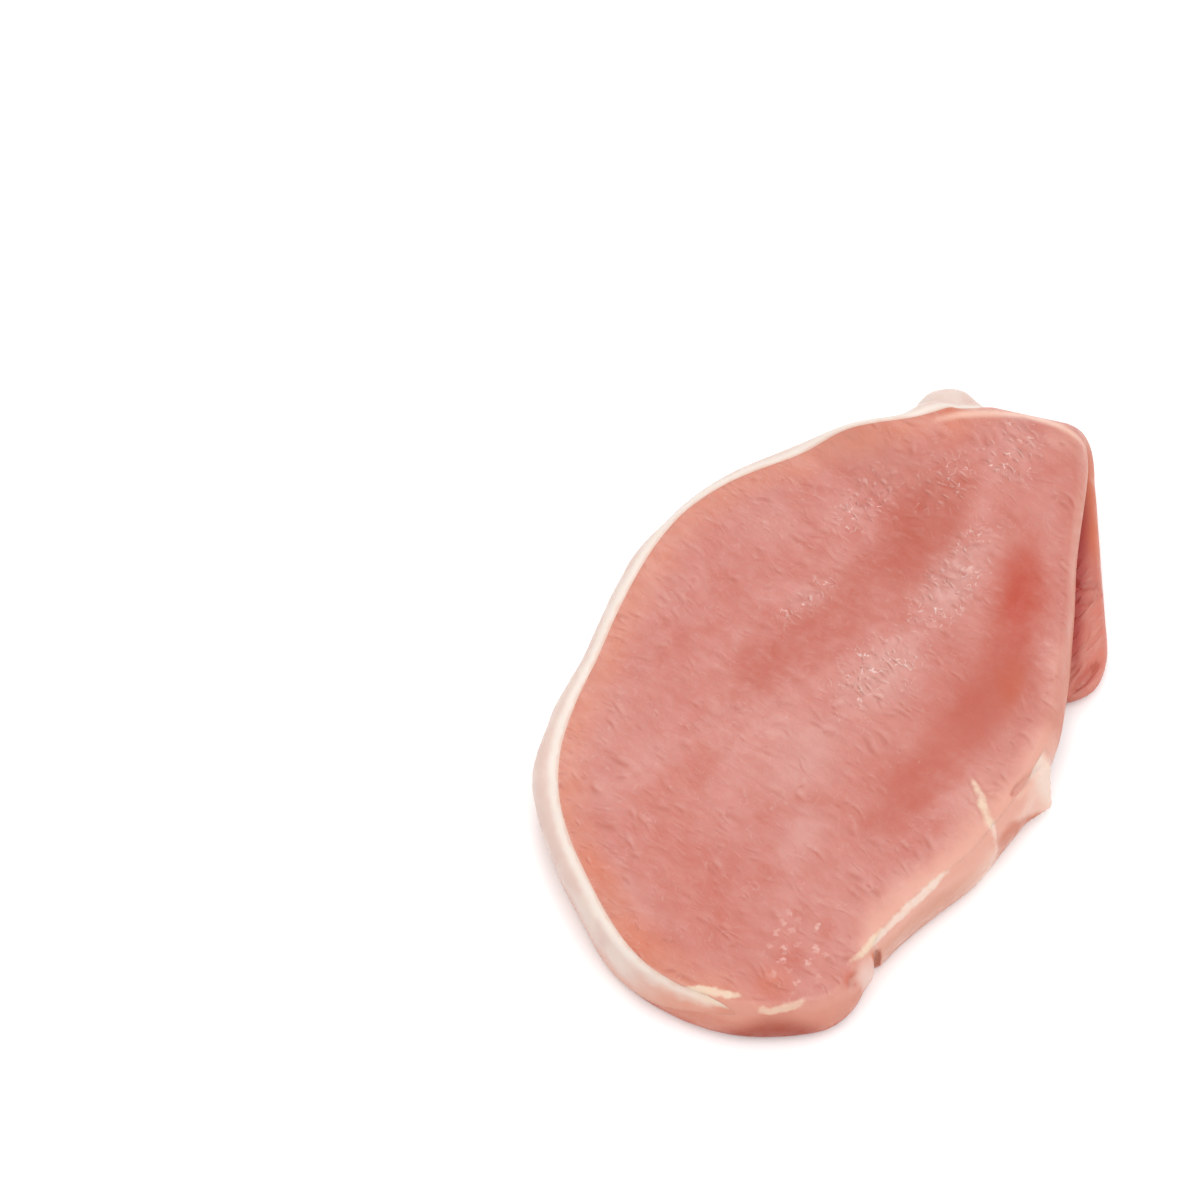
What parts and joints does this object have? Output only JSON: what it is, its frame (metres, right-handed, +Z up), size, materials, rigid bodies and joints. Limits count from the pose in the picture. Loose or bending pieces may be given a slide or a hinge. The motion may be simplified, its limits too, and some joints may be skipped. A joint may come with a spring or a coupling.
{
  "type": "raw pork loin slice",
  "caption": "Raw boneless loin slice lying flat: an oval lean eye with a fat cap along its back, silverskin on the cut side, and the thin far end folded under.",
  "frame": {"origin": "on the surface that the slice lies on, below the middle of its bounding box", "axes": "+X along the slice towards the folded end, +Y towards the fat cap, +Z up"},
  "size_m": [0.1292, 0.082, 0.0156],
  "materials": {
    "lean_meat": "moist, soft gloss",
    "fat": "smooth, waxy",
    "silverskin": "moist, thin film gloss"
  },
  "bodies": {
    "root": {"lean_eye": "lean_meat", "fat_cap": "fat", "silverskin": "silverskin"}
  },
  "joints": []
}
